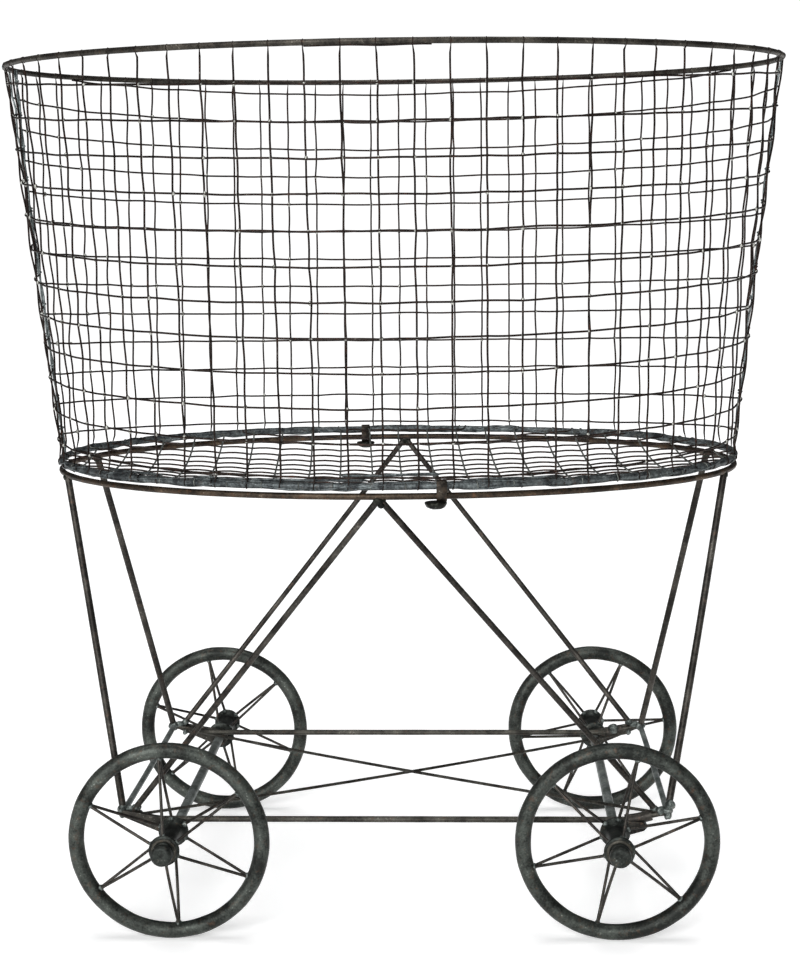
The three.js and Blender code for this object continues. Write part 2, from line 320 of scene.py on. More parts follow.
def oval_run(half_length, half_width, height, points, uneven):
    """Points round a flat oval. The rod's thickness varies by the share that is uneven."""
    run = []
    for index in range(points):
        angle = 2 * math.pi * index / points
        spot = Vector((half_length * math.cos(angle), half_width * math.sin(angle), height))
        run.append((*spot, 1 + uneven * noise.noise(spot * 60)))
    return run


rim = bent_rods(
    "rim_rod", [oval_run(*rim_half, rim_height, 240, uneven=0.05)], rod_radius,
    closed=True, roundness=4,
)
# Oxidised iron is nearly black with a brown cast. The pale specks, partly rubbed wear and
# partly painted glints, are a warm grey.
rim_iron = aged_iron("oxidised_iron_rod", ("#2a2825", "#55514a"), "#9a958a", "#5b4636", 0.4, 0.2)
rim.data.materials.append(rim_iron)
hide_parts("basket_rim")
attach(rim, "trolley")


# --- Basket wall --------------------------------------------------------------------------------
# Two sheets of woven 1.8 mm iron wire on a 29 mm grid, one round the front and one round the
# rear. The uprights are turned over the rim and round the base ring. The sheets are cut straight
# and rolled to a cone, so their level wires climb a little towards both ends.
wire_radius = 0.9 * MM
crimp = 0.8 * MM
grid_rows = 13
steps_per_cell = 4
crooked_from = 240 * MM
crooked_over = 230 * MM
bowed_from = 220 * MM
# Places in millimetres: the first upright wire, the spacing of the uprights, the highest level
# wire at the middle of the side, the spacing of the level wires and their climb to the ends.
sheets = {
    "front": {"side": -1, "first": -1.4, "across": 29.4, "top": 769.1, "down": 29.4, "climb": 21},
    "rear": {"side": 1, "first": -4.7, "across": 29.0, "top": 758.9, "down": 28.45, "climb": 17},
}
rim_quarter = quarter_oval(*halves_at(rim_height))[-1]


def column_place(sheet, column):
    """Distance of an upright wire from the middle of its side."""
    return (sheet["first"] + column * sheet["across"]) * MM


def last_column(sheet):
    """Number of the upright wire nearest to the end of the oval."""
    return int(rim_quarter / MM / sheet["across"])


def row_height(sheet, row, along):
    """Height of a level wire, which climbs towards the ends of its sheet."""
    middle = sheet["top"] - row * sheet["down"]
    return (middle + sheet["climb"] * (along / rim_quarter) ** 2) * MM


def quarter_at(height):
    """Distance from the middle of a side to the end of the basket, at a height."""
    return quarter_oval(*halves_at(height))[-1]


def turned_over(centre, out, radius, start, end, drift, flat, points=9):
    """The end of a wire, bent round a rod. Angles are in degrees, from straight out, upwards.
    The wire drifts sideways, and is hammered against the rod to the `flat` share of its width."""
    out = out.normalized()
    upwards = Vector((0, 0, 1))
    reach = radius + wire_radius * (2 * flat - 1)
    round_rod = []
    for index in range(points):
        part = index / (points - 1)
        angle = math.radians(start + (end - start) * part)
        spot = centre + out.cross(upwards) * drift * part
        spot += out * reach * math.cos(angle) + upwards * reach * math.sin(angle)
        round_rod.append((*spot, flat))
    return round_rod


def upright_wire(sheet, column, hand):
    """One upright wire, from its turn over the rim down to its turn round the base ring. The
    nearer to the end, the more crooked it is, and all cells at the right end are bowed one way."""
    side = sheet["side"]
    along = column_place(sheet, column)
    crookedness = max(0.0, abs(along) - crooked_from) / crooked_over
    sway = (0.35 + 1.1 * crookedness) * MM
    bow = (0.5 + 0.9 * crookedness) * MM
    least_bow = 0.4 if along > bowed_from else -1
    highest = rim_height - rod_radius - wire_radius
    lowest = base_height + 7 * MM
    seam_room = 2 * MM
    centre = wall_point(side, along, rim_height)
    out = wall_point(side, along, rim_height, 1.0) - centre
    run = turned_over(centre, out, rod_radius, 250, -75, 0.6 * MM * hand.choice((-1, 1)), 0.5)
    drift = hand.gauss(0, 0.3 * sway)
    for row in range(grid_rows):
        top = row_height(sheet, row, along)
        bottom = row_height(sheet, row + 1, along)
        next_drift = hand.gauss(0, sway)
        belly = hand.uniform(least_bow, 1) * bow
        weave = crimp * (-1) ** (row + column)
        for step in range(steps_per_cell):
            part = step / steps_per_cell
            height = top + (bottom - top) * part
            if height > highest or height < lowest:
                continue
            reach = along + drift + (next_drift - drift) * part
            reach += belly * math.sin(math.pi * part)
            if abs(reach) > quarter_at(height) - seam_room:
                return run
            run.append(wall_point(side, reach, height, weave * math.cos(math.pi * part)))
        drift = next_drift
    centre = wall_point(side, along, base_height)
    out = wall_point(side, along, base_height, 1.0) - centre
    run += turned_over(centre, out, base_rod_radius, 50, -75, 1 * MM, 0.6)
    return run


def level_wire(sheet, row, columns, hand):
    """One level wire, from seam to seam. Where it reaches the rim it stops."""
    side = sheet["side"]
    sway = 0.35 * MM
    bow = 0.4 * MM
    run = []
    lift = hand.gauss(0, sway)
    for column in columns:
        next_lift = hand.gauss(0, sway)
        belly = hand.uniform(-1, 1) * bow
        weave = -crimp * (-1) ** (row + column)
        for step in range(steps_per_cell):
            part = step / steps_per_cell
            along = column_place(sheet, column + part)
            height = row_height(sheet, row, along)
            height += lift + (next_lift - lift) * part + belly * math.sin(math.pi * part)
            if height > rim_height - rod_radius or height < base_height + base_rod_radius:
                continue
            end = quarter_at(height)
            if abs(along) > end + sheet["across"] * MM / steps_per_cell:
                continue
            along = max(-end, min(end, along))
            run.append(wall_point(side, along, height, weave * math.cos(math.pi * part)))
        lift = next_lift
    return run


# Annealed iron wire is black brown, with rusty stretches and a few bright specks, which are
# partly wear and partly painted glints.
wire_iron = aged_iron(
    "annealed_iron_wire", ("#15100e", "#3a312d"), "#8f8b85", "#4e2f23", 0.3, 0.35, 14 * MM
)
end_room = 6 * MM
for face, sheet in sheets.items():
    hand = random.Random(face)
    last = last_column(sheet)
    uprights = []
    for column in range(-last, last + 1):
        if abs(column_place(sheet, column)) < rim_quarter - end_room:
            uprights.append(upright_wire(sheet, column, hand))
    cells = range(-last - 1, last + 2)
    levels = [level_wire(sheet, row, cells, hand) for row in range(grid_rows)]
    for kind, runs in (("upright", uprights), ("level", levels)):
        wires = bent_rods(f"{kind}_wires_{face}", [r for r in runs if len(r) > 1], wire_radius)
        wires.data.materials.append(wire_iron)
        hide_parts("basket_wall")
        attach(wires, "trolley")


# --- Crossing highlights ------------------------------------------------------------------------
# Pale specks where the wires cross: painted highlights for the light spots at the crossings.
# About a quarter of the crossings have none.
missing_share = 0.25
smallest_speck = 1.4 * MM
largest_speck = 1.9 * MM
lowest_speck = base_height + 8 * MM
highest_speck = rim_height - 6 * MM
speck_end_room = 4 * MM
speck_mesh = bmesh.new()
hand = random.Random("specks")
for sheet in sheets.values():
    last = last_column(sheet)
    for column in range(-last, last + 1):
        along = column_place(sheet, column)
        for row in range(1, grid_rows):
            height = row_height(sheet, row, along)
            if height < lowest_speck or abs(along) > quarter_at(height) - speck_end_room:
                continue
            if height > highest_speck or hand.random() < missing_share:
                continue
            spot = wall_point(sheet["side"], along, height)
            size = Matrix.Diagonal((1, 1, hand.uniform(0.8, 1.6), 1))
            bmesh.ops.create_icosphere(
                speck_mesh, subdivisions=1, radius=hand.uniform(smallest_speck, largest_speck),
                matrix=Matrix.Translation(spot) @ size,
            )
specks = finished("crossing_highlight_specks", speck_mesh)
# The specks are painted highlights, pale and matt, so that they stand out from the dark wire.
highlight_speck_grey = aged_iron(
    "painted_crossing_highlight", ("#a2a19b", "#d0d2cc"), "#dfe1db", "#7d6a5c", 0.5, 0.0, 5 * MM
)
specks.data.materials.append(highlight_speck_grey)
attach(specks, "trolley")


# --- End seams ----------------------------------------------------------------------------------
# The two sheets meet at the ends of the oval. On the left their edge wires are twisted into a
# double strand with the level wires wrapped round it, and a third wire hangs loose outside it for
# a hand's breadth under the rim. On the right there is a single edge wire.
strand_radius = 0.95 * MM
strand_gap = 0.9 * MM
strand_step = 6 * MM
twist_pitch = 70 * MM
loose_length = 108 * MM
loose_points = 10
knot_turns = 1.3
knot_points = 13
# The wire was washed with zinc, which leaves it a bluish grey with dark gaps.
seam_iron = aged_iron(
    "zinc_washed_iron_wire", ("#434848", "#96a0a0"), "#c5cdcd", "#4e3528", 0.45, 0.1, 12 * MM
)


def seam_place(end, height, pulled_in):
    """Distance of a seam from the middle of the basket. Its top is pulled in towards the middle."""
    inset = pulled_in * max(0.0, 1 - (rim_height - height) / loose_length)
    return end * (halves_at(height)[0] - inset)


for end, side_name, phases, pulled_in in (
    (-1, "left", (0, math.pi), 5 * MM), (1, "right", (0,), 0),
):
    hand = random.Random(side_name)
    strands = []
    for phase in phases:
        run = []
        height = rim_height
        while height > base_height:
            twist = phase + height / twist_pitch * 2 * math.pi
            twist += 0.8 * noise.noise((height * 25, 0, 0))
            x = seam_place(end, height, pulled_in) + strand_gap * math.cos(twist)
            thickness = 1 + 0.15 * noise.noise((height * 90, phase, 0))
            run.append((x, strand_gap * math.sin(twist), height, thickness))
            height -= strand_step
        strands.append(run)
    if side_name == "left":
        loose = []
        for index in range(loose_points):
            part = index / (loose_points - 1)
            height = rim_height - loose_length * part
            belly = (0.5 + 1.2 * math.sin(math.pi * part) * (index % 3 - 1)) * MM
            loose.append((end * (halves_at(height)[0] + belly), -2 * MM, height))
        strands.append(loose)
    seam = bent_rods(f"seam_strands_{side_name}", strands, strand_radius)

    knots = []
    for row in range(1, grid_rows):
        height = row_height(sheets["front"], row, rim_quarter)
        centre = Vector((seam_place(end, height, pulled_in), 0, height))
        first_angle = hand.uniform(0, 2 * math.pi)
        reach = strand_gap + strand_radius * 0.8
        knot = []
        for index in range(knot_points):
            part = index / (knot_points - 1)
            angle = first_angle + 2 * math.pi * knot_turns * part
            rise = (part - 0.5) * hand.uniform(3.0, 3.6) * MM
            knot.append(centre + Vector((reach * math.cos(angle), reach * math.sin(angle), rise)))
        knots.append(knot)
    lacing = bent_rods(f"seam_knots_{side_name}", knots, wire_radius)
    for piece in (seam, lacing):
        piece.data.materials.append(seam_iron)
        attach(piece, "trolley")


# --- Base ring ----------------------------------------------------------------------------------
# A 7 mm iron rod oval under the wall. The ends of both meshes are wound round it and hammered
# down. A zinc wash over it all makes it lumpy and bluish, with pale patches that are partly
# wear and partly painted glints.
ring_iron = aged_iron(
    "zinc_washed_iron_rod", ("#303335", "#737a7b"), "#adb3b1", "#5a463a", 0.4, 0.25, 9 * MM
)
ring = bent_rods(
    "base_ring_rod", [oval_run(*base_half, base_height, 320, uneven=0.14)], base_rod_radius,
    closed=True, roundness=4,
)
winding_points = 420
winding_radius = 1.0 * MM
winding_reach = base_rod_radius + 0.15 * MM
windings = []
# A winding turns this often round the rod on its way round the oval. One turns the other way.
for turns, phase in ((11, 0.0), (-9, 1.9), (14, 3.7)):
    run = []
    for index in range(winding_points):
        angle = 2 * math.pi * index / winding_points
        out = Vector((base_half[1] * math.cos(angle), base_half[0] * math.sin(angle), 0))
        spot = Vector((base_half[0] * math.cos(angle), base_half[1] * math.sin(angle), base_height))
        wind = phase + turns * angle + noise.noise(spot * 12) * 2
        spot += out.normalized() * winding_reach * math.cos(wind)
        spot.z += winding_reach * math.sin(wind)
        run.append((*spot, 1 + 0.45 * noise.noise(spot * 110)))
    windings.append(run)
winding = bent_rods("base_ring_winding", windings, winding_radius, closed=True)
for piece in (ring, winding):
    piece.data.materials.append(ring_iron)
    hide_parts("basket_base_ring")
    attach(piece, "trolley")


# --- Basket floor -------------------------------------------------------------------------------
# A third sheet of the same mesh, cut to the oval and hung inside the base ring. It sags in the
# middle. The cross wires, from left to right, rise between the depth wires, which run from front
# to rear and lie on top of them. All the ends go over the ring and round it.
floor_sag = 15 * MM
floor_pitch = 29 * MM
floor_middle_row = -4 * MM
floor_columns = range(-12, 13)
floor_rows = range(-7, 8)
# The middle column's place at the front and at the rear, and the spacing of the columns there.
floor_skew_front = (17.1 * MM, 28.6 * MM)
floor_skew_rear = (-7.7 * MM, 30.4 * MM)


def floor_level(x, y):
    """Height of the floor mesh, which sags in the middle and rises over the ring at its edge."""
    spread = min(1.0, (x / base_half[0]) ** 2 + (y / base_half[1]) ** 2)
    return base_height + 2.5 * MM * spread ** 6 - floor_sag * (1 - spread)


def ring_hook(spot, start, end):
    """A floor wire's end, bent over the base ring at the place nearest to a spot."""
    scale = math.hypot(spot.x / base_half[0], spot.y / base_half[1])
    centre = Vector((spot.x / scale, spot.y / scale, base_height))
    out = Vector((centre.x / base_half[0] ** 2, centre.y / base_half[1] ** 2, 0))
    return turned_over(centre, out, base_rod_radius + 0.2 * MM, start, end, 1 * MM, 0.6, points=8)


def hooked(run):
    """A floor wire with both of its ends bent over the base ring, in degrees as above."""
    under = -40
    over = 160
    return ring_hook(run[0], under, over) + run + ring_hook(run[-1], over, under)


def inside(x, y):
    """Whether a place on the floor is inside the base ring, with room for the hooks."""
    room = 7 * MM
    return math.hypot(x / (base_half[0] - room), y / (base_half[1] - room)) < 1


hand = random.Random("floor")
depth_wires = []
depth_steps = 56
for column in floor_columns:
    front_x = floor_skew_front[0] + column * floor_skew_front[1]
    rear_x = floor_skew_rear[0] + column * floor_skew_rear[1]
    wander = hand.uniform(-1.5, 1.5) * MM
    run = []
    for step in range(depth_steps + 1):
        part = step / depth_steps
        y = -base_half[1] + part * 2 * base_half[1]
        x = front_x + (rear_x - front_x) * part + wander * math.sin(math.pi * part)
        if inside(x, y):
            run.append(Vector((x, y, floor_level(x, y) + wire_radius)))
    if len(run) > 2:
        depth_wires.append(hooked(run))

cross_wires = []
for row in floor_rows:
    y_middle = floor_middle_row + row * floor_pitch
    across = (y_middle + base_half[1]) / (2 * base_half[1])
    middle_x = floor_skew_front[0] * (1 - across) + floor_skew_rear[0] * across
    pitch = floor_skew_front[1] * (1 - across) + floor_skew_rear[1] * across
    run = []
    for column in floor_columns:
        for step in range(steps_per_cell):
            part = step / steps_per_cell
            x = middle_x + (column + part) * pitch
            y = y_middle + noise.noise((x * 9, y_middle * 30, 0)) * 2.5 * MM
            if inside(x, y):
                arch = (1.1 * math.sin(math.pi * part) - 0.8) * MM
                run.append(Vector((x, y, floor_level(x, y) + arch)))
    if len(run) > 2:
        cross_wires.append(hooked(run))

# The depth wires are a paler grey than the cross wires: a painted reflection of the light from
# above.
depth_sheen_iron = aged_iron(
    "floor_wire_painted_sheen", ("#4d4f4c", "#8b8f8a"), "#b4b8b3", "#57463b", 0.55, 0.15, 16 * MM
)
for name, runs, iron in (
    ("floor_depth_wires", depth_wires, depth_sheen_iron), ("floor_cross_wires", cross_wires, wire_iron)
):
    wires = bent_rods(name, runs, wire_radius)
    wires.data.materials.append(iron)
    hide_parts("basket_floor")
    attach(wires, "trolley")


# --- Folded mesh ends ---------------------------------------------------------------------------
# Where the floor sheet was cut too long, its edge is folded back and hammered to a grey band. It
# stands up behind the middle of the front and lies on the ring elsewhere.
fold_radius = 1.15 * MM
fold_points = 15
strand_spacing = 1.9
fold_bands = []
# In millimetres: where a band starts and ends, how far it lies inside the ring and how high.
for first, last, inset, lift in (
    (-38, 6, 10.0, 7.6), (-4, 46, 12.0, 8.6), (-168, -60, 4.0, 2.6), (-72, -16, 4.5, 3.4),
    (64, 150, 4.0, 2.4), (-250, -196, 4.0, 2.6),
):
    for strand in range(3):
        run = []
        for step in range(fold_points):
            x = (first + (last - first) * step / (fold_points - 1)) * MM
            spread = math.sqrt(1 - (x / base_half[0]) ** 2)
            y = -base_half[1] * spread + (inset + (strand - 1) * strand_spacing) * MM
            y += noise.noise((x * 40, strand * 3.0, inset)) * 1.5 * MM
            height = floor_level(x, y) + (lift + 0.7 * noise.noise((x * 60, strand, lift))) * MM
            thickness = 1 + 0.3 * noise.noise((x * 90, y, 0))
            if step in (0, fold_points - 1):
                thickness = 0.25
            run.append((x, y, height, thickness))
        fold_bands.append(run)
folds = bent_rods("folded_mesh_ends", fold_bands, fold_radius)
folds.data.materials.append(ring_iron)
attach(folds, "trolley")


# --- Frame ring ---------------------------------------------------------------------------------
# The oval of 6.5 mm rod that the basket stands on. It was welded closed and left brown, with
# bright specks in places that are partly rubbed iron and partly painted glints.
frame_low, frame_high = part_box("frame_ring")
frame_rod_radius = (frame_high.z - frame_low.z) / 2
frame_ring_height = frame_low.z + frame_rod_radius
frame_ring = bent_rods(
    "frame_ring_rod", [oval_run(*base_half, frame_ring_height, 240, uneven=0.04)],
    frame_rod_radius, closed=True, roundness=4,
)
# Browned iron is a warm dark brown, and rusts more than the rest.
frame_iron = aged_iron(
    "browned_iron_rod", ("#29241f", "#5a4d40"), "#958b7d", "#6e4a32", 0.35, 0.35
)
frame_ring.data.materials.append(frame_iron)
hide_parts("frame_ring")
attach(frame_ring, "trolley")


# --- Basket clips -------------------------------------------------------------------------------
# Two bands of sheet iron, front right and rear left, that hold the basket down on the frame
# ring. A domed nut sits under each one; the front band has slid a little to the right of its nut.
band_width_share = 0.62
band_slid = {"front": 5 * MM, "rear": 0}
# A dome in shares of the nut's radius and depth, from the face under the band downwards.
nut_dome = ((0, 0), (0.97, 0), (1, 0.12), (0.98, 0.3), (0.82, 0.66), (0.5, 0.9), (0, 1))
# The band is browned like the ring under it. The nut was blackened in oil, and only its pale
# specks are bright: they paint its highlight.
clip_iron = aged_iron(
    "browned_sheet_iron", ("#24211e", "#4a433b"), "#8f8a80", "#5a4536", 0.3, 0.3, 9 * MM
)
nut_iron = aged_iron(
    "blackened_nut_iron", ("#151614", "#34362f"), "#a9aea8", "#4a382c", 0.45, 0.2, 9 * MM
)


def merged_copy(name, node, width):
    """A copy of a CAD node with its triangles joined and its sharp edges rounded to a width."""
    mesh = bmesh.new()
    mesh.from_mesh(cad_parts[node].data)
    bmesh.ops.remove_doubles(mesh, verts=mesh.verts, dist=0.02 * MM)
    bmesh.ops.dissolve_limit(
        mesh, angle_limit=math.radians(2), verts=mesh.verts, edges=mesh.edges
    )
    joined = [edge for edge in mesh.edges if len(edge.link_faces) == 2]
    sharp = [edge for edge in joined if edge.calc_face_angle() > math.radians(50)]
    bmesh.ops.bevel(
        mesh, geom=sharp, offset=width, offset_type="OFFSET", segments=2, profile=0.5,
        affect="EDGES", material=-1, clamp_overlap=True,
    )
    return finished(name, mesh)


def turned(mesh, profile, centre, steps=48):
    """Turns a profile of (radius, place along the axis) points about the Y line through a centre
    and joins the doubled points."""
    verts = [mesh.verts.new(centre + Vector((radius, y, 0))) for radius, y in profile]
    edges = [mesh.edges.new(pair) for pair in zip(verts, verts[1:])]
    bmesh.ops.spin(
        mesh, geom=verts + edges, cent=centre, axis=(0, 1, 0), dvec=(0, 0, 0),
        angle=2 * math.pi, steps=steps, use_merge=True,
    )
    bmesh.ops.remove_doubles(mesh, verts=mesh.verts, dist=0.05 * MM)


for face in ("front", "rear"):
    band = merged_copy(f"clip_band_{face}", f"basket_clip_{face}", 0.4 * MM)
    clip_low, clip_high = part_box(f"basket_clip_{face}")
    clip_x = (clip_low.x + clip_high.x) / 2
    for vert in band.data.vertices:
        vert.co.x = clip_x + band_slid[face] + (vert.co.x - clip_x) * band_width_share
    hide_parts(f"basket_clip_{face}")
    nut_low, nut_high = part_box(f"basket_clip_nut_{face}")
    nut_radius = (nut_high.x - nut_low.x) / 2
    nut_depth = nut_high.z - nut_low.z
    nut_mesh = bmesh.new()
    profile = [(across * nut_radius, down * nut_depth) for across, down in nut_dome]
    turned(nut_mesh, profile, Vector((0, 0, 0)))
    bmesh.ops.rotate(nut_mesh, verts=nut_mesh.verts, matrix=Matrix.Rotation(-math.pi / 2, 3, "X"))
    for vert in nut_mesh.verts:
        vert.co += vert.normal * 0.5 * MM * noise.noise(vert.co * 250)
    middle = (nut_low + nut_high) / 2
    bmesh.ops.translate(nut_mesh, verts=nut_mesh.verts, vec=(middle.x, middle.y, nut_high.z))
    nut = finished(f"clip_nut_{face}", nut_mesh)
    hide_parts(f"basket_clip_nut_{face}")
    for piece, iron in ((band, clip_iron), (nut, nut_iron)):
        piece.data.materials.clear()
        piece.data.materials.append(iron)
        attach(piece, "trolley")


# --- Legs and braces ----------------------------------------------------------------------------
# Four 6.5 mm legs spread the frame ring's load to the corners below, and four 5.5 mm braces run
# from the middle of each long side to the same corners. All are cut rod, bowed a little.
# The oxidised rod is black grey, brown where it has begun to rust.
leg_iron = aged_iron(
    "oxidised_iron_leg", ("#272523", "#53504b"), "#908d85", "#5f4333", 0.35, 0.25, 24 * MM
)
corners = {
    "front_left": (-1, -1), "front_right": (1, -1), "rear_left": (-1, 1), "rear_right": (1, 1),
}
side_low, side_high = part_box("side_rail_right")
corner_height = (side_low.z + side_high.z) / 2
corner_x = (side_low.x + side_high.x) / 2
rail_low, rail_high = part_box("front_rail")
rail_y = -(rail_low.y + rail_high.y) / 2
rail_height = rail_low.z + frame_rod_radius
leg_top_x = 301 * MM
# The front pair of braces meets a little to the left of the middle.
braces_meet_x = {-1: -5.5 * MM, 1: 0}
brace_top_spread = 1.5 * MM
brace_top_drop = 3.5 * MM
brace_foot_x = 236 * MM
leg_radius = 3.25 * MM
brace_radius = 2.75 * MM


def bowed_rod(start, end, bow, points=12):
    """A nearly straight rod between two places."""
    run = []
    for index in range(points):
        part = index / (points - 1)
        spot = start.lerp(end, part)
        spot.x += bow * math.sin(math.pi * part)
        run.append((*spot, 1 + 0.05 * noise.noise(spot * 45)))
    return run


hand = random.Random("rods")
ring_y = base_half[1] * math.sqrt(1 - (leg_top_x / base_half[0]) ** 2)
for corner, (x_sign, y_sign) in corners.items():
    corner_spot = Vector((x_sign * corner_x, y_sign * rail_y, corner_height))
    leg_top = Vector((x_sign * leg_top_x, y_sign * ring_y, frame_ring_height))
    brace_top_x = braces_meet_x[y_sign] + x_sign * brace_top_spread
    brace_top = Vector((brace_top_x, y_sign * base_half[1], frame_ring_height - brace_top_drop))
    brace_foot = Vector((x_sign * brace_foot_x, y_sign * rail_y, corner_height + 1 * MM))
    leg = bent_rods(
        f"leg_rod_{corner}", [bowed_rod(leg_top, corner_spot, hand.uniform(-1, 1) * MM)],
        leg_radius, roundness=4,
    )
    brace = bent_rods(
        f"brace_rod_{corner}", [bowed_rod(brace_top, brace_foot, hand.uniform(-1, 1) * MM)],
        brace_radius, roundness=4,
    )
    for piece, node in ((leg, f"leg_{corner}"), (brace, f"brace_{corner}")):
        piece.data.materials.append(leg_iron)
        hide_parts(node)
        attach(piece, "trolley")


# --- Lower frame --------------------------------------------------------------------------------
# Two long rails and two side rails of 6.5 mm rod, welded at the corners. The long rails lie on
# the axles and bend up to meet the side rails. Two thin tie rods cross between the corners.
rail_bend_x = 208 * MM
tie_bow = 2 * MM
tie_sag = 2.5 * MM
tie_points = 16
# The long rails are oxidised like the legs. The side rails are a pale grey all over, a painted
# reflection of the bright light round them.
rail_iron = aged_iron(
    "oxidised_iron_rail", ("#272623", "#54524c"), "#929088", "#5e4434", 0.35, 0.25
)
side_reflection_iron = aged_iron("rail_iron_painted_reflection", ("#626866", "#a9b0ae"), "#c9cecb", "#7b6859", 0.4, 0.1)


def rail_run(y, first_x, last_x, points):
    """Places along a long rail, level in the middle and bent up at both ends."""
    run = []
    for index in range(points):
        x = first_x + (last_x - first_x) * index / (points - 1)
        bend = min(1.0, max(0.0, (abs(x) - rail_bend_x) / (corner_x - rail_bend_x)))
        lift = (corner_height - rail_height) * bend * bend * (3 - 2 * bend)
        run.append((x, y, rail_height + lift, 1 + 0.05 * noise.noise((x * 40, y * 9, 0))))
    return run


for name, y in (("front_rail", -rail_y), ("rear_rail", rail_y)):
    run = rail_run(y, -corner_x, corner_x, 70)
    rail = bent_rods(f"{name}_rod", [run], frame_rod_radius, roundness=4)
    rail.data.materials.append(rail_iron)
    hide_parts(name)
    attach(rail, "trolley")
for name, x in (("side_rail_left", -corner_x), ("side_rail_right", corner_x)):
    ends = (Vector((x, side_low.y, corner_height)), Vector((x, side_high.y, corner_height)))
    rail = bent_rods(f"{name}_rod", [bowed_rod(*ends, 0.5 * MM)], frame_rod_radius, roundness=4)
    rail.data.materials.append(side_reflection_iron)
    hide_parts(name)
    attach(rail, "trolley")
for name, x_sign in (("cross_rod_lower", 1), ("cross_rod_upper", -1)):
    low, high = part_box(name)
    end_height = (low.z + high.z) / 2 + tie_sag
    ends = (
        Vector((x_sign * low.x, low.y, end_height)), Vector((x_sign * high.x, high.y, end_height)),
    )
    run = []
    for index, (x, y, z, thickness) in enumerate(bowed_rod(*ends, tie_bow, tie_points)):
        sag = tie_sag * math.sin(math.pi * index / (tie_points - 1))
        run.append((x, y, z - sag, thickness))
    tie = bent_rods(f"{name}_wire", [run], (high.z - low.z) / 2)
    tie.data.materials.append(rail_iron)
    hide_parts(name)
    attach(tie, "trolley")


# --- Sleeves and welds --------------------------------------------------------------------------
# Two short tube sleeves mend the right ends of the long rails. The corners are joined with lumps
# of pale weld. The tops of the legs and braces were welded to the ring and blackened over.
sleeve_radius = 5 * MM
front_sleeve = rail_run(-rail_y, 207 * MM, 231 * MM, 8)
rear_sleeve = rail_run(rail_y, 210 * MM, 226 * MM, 8)
sleeves = bent_rods("rail_sleeves", [front_sleeve, rear_sleeve], sleeve_radius, roundness=4)
sleeves.data.materials.append(leg_iron)
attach(sleeves, "trolley")

# Bare weld metal is a pale grey, and its lumps catch the light.
weld_iron = aged_iron(
    "weld_metal", ("#3d4240", "#838a87"), "#c1c8c3", "#6f5848", 0.5, 0.15, 6 * MM
)
brace_weld_x = 233 * MM
tie_weld = (232 * MM, 133 * MM)
sleeve_weld_x = {"front": 219 * MM, "rear": 217 * MM}
weld_mesh = bmesh.new()
ring_weld_mesh = bmesh.new()


def add_lump(mesh, spot, size, stretch=(1, 1, 1)):
    """A rough bead of weld."""
    shape = Matrix.Translation(spot) @ Matrix.Diagonal((*stretch, 1))
    lump = bmesh.ops.create_icosphere(mesh, subdivisions=3, radius=size, matrix=shape)["verts"]
    for vert in lump:
        away = (vert.co - Vector(spot)).normalized()
        vert.co += away * size * 0.35 * noise.noise(vert.co * 0.9 / size)


for corner, (x_sign, y_sign) in corners.items():
    x = x_sign * corner_x
    y = y_sign * rail_y
    add_lump(weld_mesh, (x, y, corner_height + 1 * MM), 5.0 * MM, (1.1, 1.0, 0.9))
    add_lump(weld_mesh, (x - x_sign * 6 * MM, y, corner_height + 2 * MM), 4.0 * MM, (1.3, 0.9, 0.9))
    brace_end = (x_sign * brace_weld_x, y, corner_height + 4.5 * MM)
    add_lump(weld_mesh, brace_end, 3.6 * MM, (1.1, 1, 0.9))
    add_lump(weld_mesh, (x, y + y_sign * 3 * MM, corner_height - 2 * MM), 3.4 * MM)
    leg_end = (x_sign * leg_top_x, y_sign * ring_y, frame_ring_height - 2.5 * MM)
    add_lump(ring_weld_mesh, leg_end, 3.8 * MM)
    tie_end = (x_sign * tie_weld[0], y_sign * tie_weld[1], corner_height - 4 * MM)
    add_lump(weld_mesh, tie_end, 2.8 * MM)
for y_sign in (-1, 1):
    y = y_sign * base_half[1]
    meet = braces_meet_x[y_sign]
    add_lump(ring_weld_mesh, (meet, y, frame_ring_height - 4 * MM), 3.8 * MM, (1.5, 0.9, 1))
    add_lump(ring_weld_mesh, (meet + 1.5 * MM, y - 1 * MM, frame_ring_height - 7 * MM), 2.9 * MM)
add_lump(weld_mesh, (corner_x + 2 * MM, -rail_y - 2 * MM, corner_height + 8 * MM), 4.6 * MM)
front_sleeve_weld = (sleeve_weld_x["front"], -rail_y, rail_height - 6 * MM)
add_lump(weld_mesh, front_sleeve_weld, 6 * MM, (1.5, 0.8, 0.8))
add_lump(weld_mesh, (sleeve_weld_x["rear"], rail_y - 3 * MM, rail_height + 5 * MM), 5 * MM)
for name, mesh, iron in (
    ("corner_welds", weld_mesh, weld_iron), ("ring_welds", ring_weld_mesh, nut_iron),
):
    welds = finished(name, mesh)
    welds.data.materials.append(iron)
    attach(welds, "trolley")


# --- Axles and brackets -------------------------------------------------------------------------
# A 9 mm iron bar carries the two wheels on each side. Its ends are chamfered and sit inside the
# caps. Cut plates with a round eye tie the bars to the corners of the frame.
bar_chamfer = 0.6 * MM
